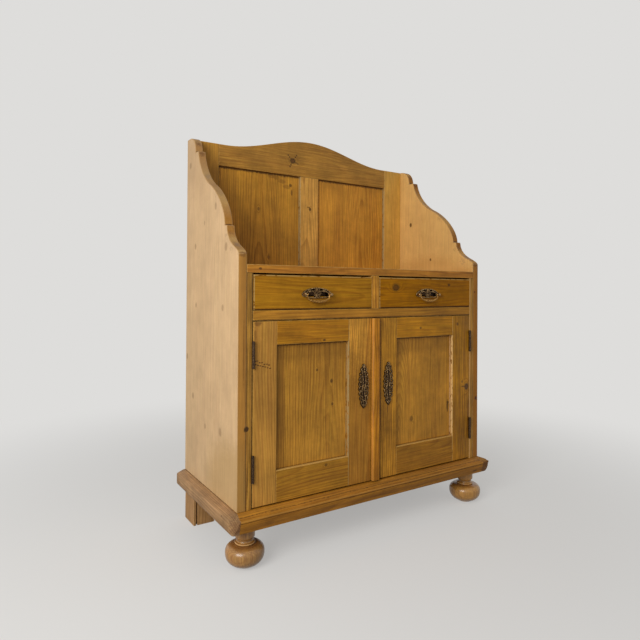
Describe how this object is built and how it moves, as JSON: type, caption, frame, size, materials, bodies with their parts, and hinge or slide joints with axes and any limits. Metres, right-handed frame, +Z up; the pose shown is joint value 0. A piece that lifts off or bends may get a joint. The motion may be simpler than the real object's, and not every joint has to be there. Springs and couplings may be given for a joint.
{
  "type": "pine cupboard",
  "caption": "Pine cupboard with an open scroll-sided shelf, two drawers with bail pulls and two panelled doors over a moulded base on turned front feet.",
  "frame": {"origin": "on the floor, under the middle of the bounding box", "axes": "+X to the right seen from the front, +Y to the back, +Z up"},
  "size_m": [1.08, 0.487, 1.427],
  "materials": {
    "side_pine": "old wax polish over pale pine",
    "front_pine": "old wax polish over honey pine",
    "drawer_pine": "old wax polish over amber pine",
    "back_pine": "old wax polish over honey pine",
    "inside_pine": "bare old pine",
    "bead_pine": "old wax polish over reddish pine",
    "base_pine": "old wax polish over amber pine",
    "foot_pine": "polished turned pine",
    "bronze": "cast brass with a dark bronze patina",
    "brass": "old cast brass, dulled",
    "iron": "dark old iron"
  },
  "bodies": {
    "carcass": {"side_left": "side_pine", "side_right": "side_pine", "display_shelf": "front_pine", "cupboard_floor": "inside_pine", "inner_shelf": "inside_pine", "face_strip_left": "front_pine", "face_strip_right": "front_pine", "drawer_rail": "front_pine", "drawer_divider": "front_pine", "drawer_runners": "inside_pine", "lower_back_boards": "inside_pine", "back_stile_left": "back_pine", "back_stile_right": "back_pine", "back_crest_rail": "back_pine", "back_muntin": "back_pine", "back_bottom_rail": "back_pine", "back_panel_left": "back_pine", "back_panel_right": "back_pine", "base_front": "base_pine", "base_left": "base_pine", "base_right": "base_pine", "base_side_rails": "inside_pine", "base_rear_rail": "inside_pine", "bun_foot_left": "foot_pine", "bun_foot_right": "foot_pine", "rear_foot_left": "foot_pine", "rear_foot_right": "foot_pine", "hinge_frame_leaves": "iron", "hinge_pins": "iron"},
    "left_door": {"left_door_hinge_stile": "front_pine", "left_door_lock_stile": "front_pine", "left_door_top_rail": "front_pine", "left_door_bottom_rail": "front_pine", "left_door_panel": "front_pine", "left_door_escutcheon": "bronze", "left_door_hinge_leaves": "iron", "left_door_bolt_plate": "iron"},
    "left_door_bolt": {"left_door_bolt": "iron"},
    "right_door": {"right_door_hinge_stile": "front_pine", "right_door_lock_stile": "front_pine", "right_door_top_rail": "front_pine", "right_door_bottom_rail": "front_pine", "right_door_panel": "front_pine", "right_door_escutcheon": "bronze", "right_door_hinge_leaves": "iron", "meeting_bead": "bead_pine", "lock_case": "iron"},
    "lock_bolt": {"lock_bolt": "iron"},
    "left_drawer": {"left_drawer_front": "drawer_pine", "left_drawer_sides": "inside_pine", "left_drawer_back": "inside_pine", "left_drawer_bottom": "inside_pine", "left_drawer_pull": "bronze"},
    "left_drawer_bail": {"left_drawer_bail": "brass"},
    "right_drawer": {"right_drawer_front": "drawer_pine", "right_drawer_sides": "inside_pine", "right_drawer_back": "inside_pine", "right_drawer_bottom": "inside_pine", "right_drawer_pull": "bronze"},
    "right_drawer_bail": {"right_drawer_bail": "brass"}
  },
  "joints": [
    {"name": "left_door_hinge", "type": "hinge", "parent": "carcass", "child": "left_door", "pos_m": [-0.462, -0.2177, 0.45], "axis": [0, 0, 1], "range_deg": [-170, 0]},
    {"name": "left_door_bolt_slide", "type": "slide", "parent": "left_door", "child": "left_door_bolt", "axis": [0, 0, 1], "range_m": [0, 0.014]},
    {"name": "right_door_hinge", "type": "hinge", "parent": "carcass", "child": "right_door", "pos_m": [0.462, -0.2177, 0.45], "axis": [0, 0, 1], "range_deg": [0, 170]},
    {"name": "lock_bolt_slide", "type": "slide", "parent": "right_door", "child": "lock_bolt", "axis": [-1, 0, 0], "range_m": [0, 0.01]},
    {"name": "left_drawer_slide", "type": "slide", "parent": "carcass", "child": "left_drawer", "axis": [0, -1, 0], "range_m": [0, 0.3]},
    {"name": "left_bail_swing", "type": "hinge", "parent": "left_drawer", "child": "left_drawer_bail", "pos_m": [-0.24075, -0.2255, 0.809], "axis": [-1, 0, 0], "range_deg": [0, 90]},
    {"name": "right_drawer_slide", "type": "slide", "parent": "carcass", "child": "right_drawer", "axis": [0, -1, 0], "range_m": [0, 0.3]},
    {"name": "right_bail_swing", "type": "hinge", "parent": "right_drawer", "child": "right_drawer_bail", "pos_m": [0.23775, -0.2255, 0.809], "axis": [-1, 0, 0], "range_deg": [0, 90]}
  ]
}
